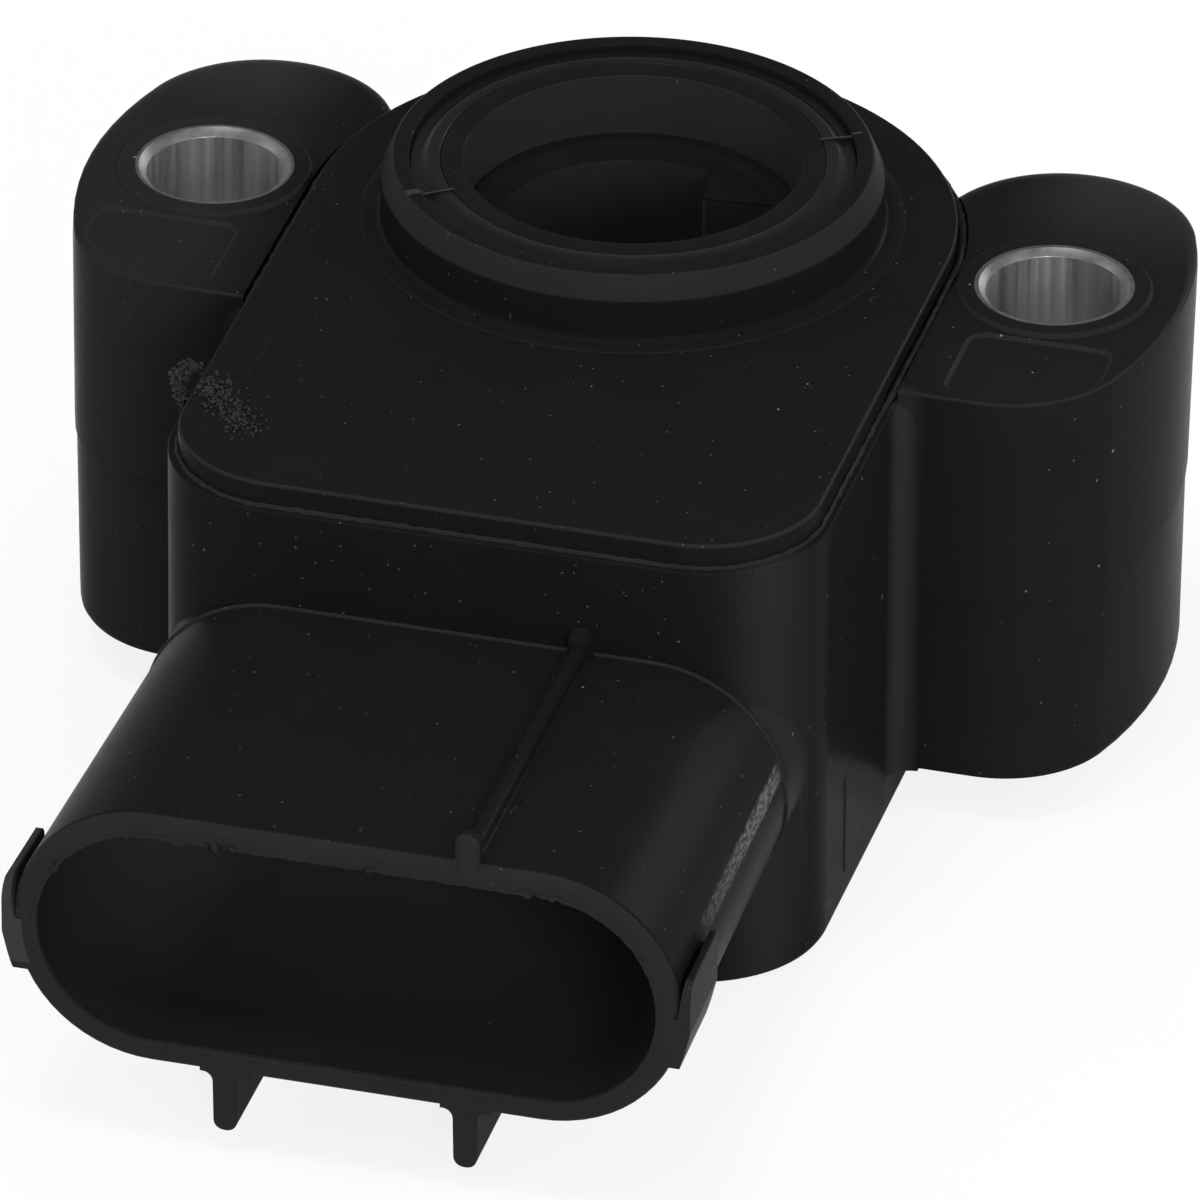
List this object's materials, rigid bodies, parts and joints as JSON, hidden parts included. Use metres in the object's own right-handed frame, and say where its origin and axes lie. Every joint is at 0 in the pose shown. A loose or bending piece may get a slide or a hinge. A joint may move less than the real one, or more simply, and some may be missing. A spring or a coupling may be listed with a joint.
{
  "type": "throttle position sensor",
  "caption": "Rotary throttle position sensor: black housing with screw ears, oval connector shroud, round locating collar and a sprung drive hub.",
  "frame": {"origin": "on the hub's axis, at the height of the ears' top faces, midway between the screw holes", "axes": "+Z along the hub's axis, out of the collar; +X from the left ear to the right one; the connector faces -Y"},
  "size_m": [0.0492, 0.0597, 0.0249],
  "materials": {
    "housing_plastic": "moulded, fine grain",
    "cover_plastic": "moulded, fine grain",
    "sleeve_aluminium": "drawn, turned ends",
    "seal_rubber": "smooth, semi-gloss",
    "hub_plastic": "moulded, semi-gloss",
    "bush_bronze": "sintered",
    "pin_steel": "ground",
    "washer_plastic": "natural",
    "spring_steel": "bright wire",
    "carrier_metal": "stamped",
    "contact_alloy": "stamped",
    "board_laminate": "printed board",
    "retainer_steel": "stamped",
    "blade_tin": "tinned",
    "resin": "poured"
  },
  "bodies": {
    "case": {"housing": "housing_plastic", "cover": "cover_plastic", "sleeve_left": "sleeve_aluminium", "sleeve_right": "sleeve_aluminium", "collar_seal": "seal_rubber", "pivot_pin": "pin_steel", "thrust_washer": "washer_plastic", "track_board": "board_laminate", "board_retainers": "retainer_steel", "terminal_supply": "blade_tin", "terminal_signal": "blade_tin", "terminal_ground": "blade_tin", "board_link_supply": "contact_alloy", "board_link_signal": "contact_alloy", "board_link_ground": "contact_alloy", "terminal_seal": "resin"},
    "hub": {"rotor": "hub_plastic", "rotor_bush": "bush_bronze", "return_spring": "spring_steel", "wiper_carrier": "carrier_metal", "wiper": "contact_alloy"}
  },
  "joints": [
    {"name": "hub_turn", "type": "hinge", "parent": "case", "child": "hub", "pos_m": [0, 0, 0], "axis": [0, 0, 1], "range_deg": [0, 95], "stiffness_Nm_per_rad": 0.012, "springref_deg": -34.38, "deforming": ["return_spring"]}
  ]
}
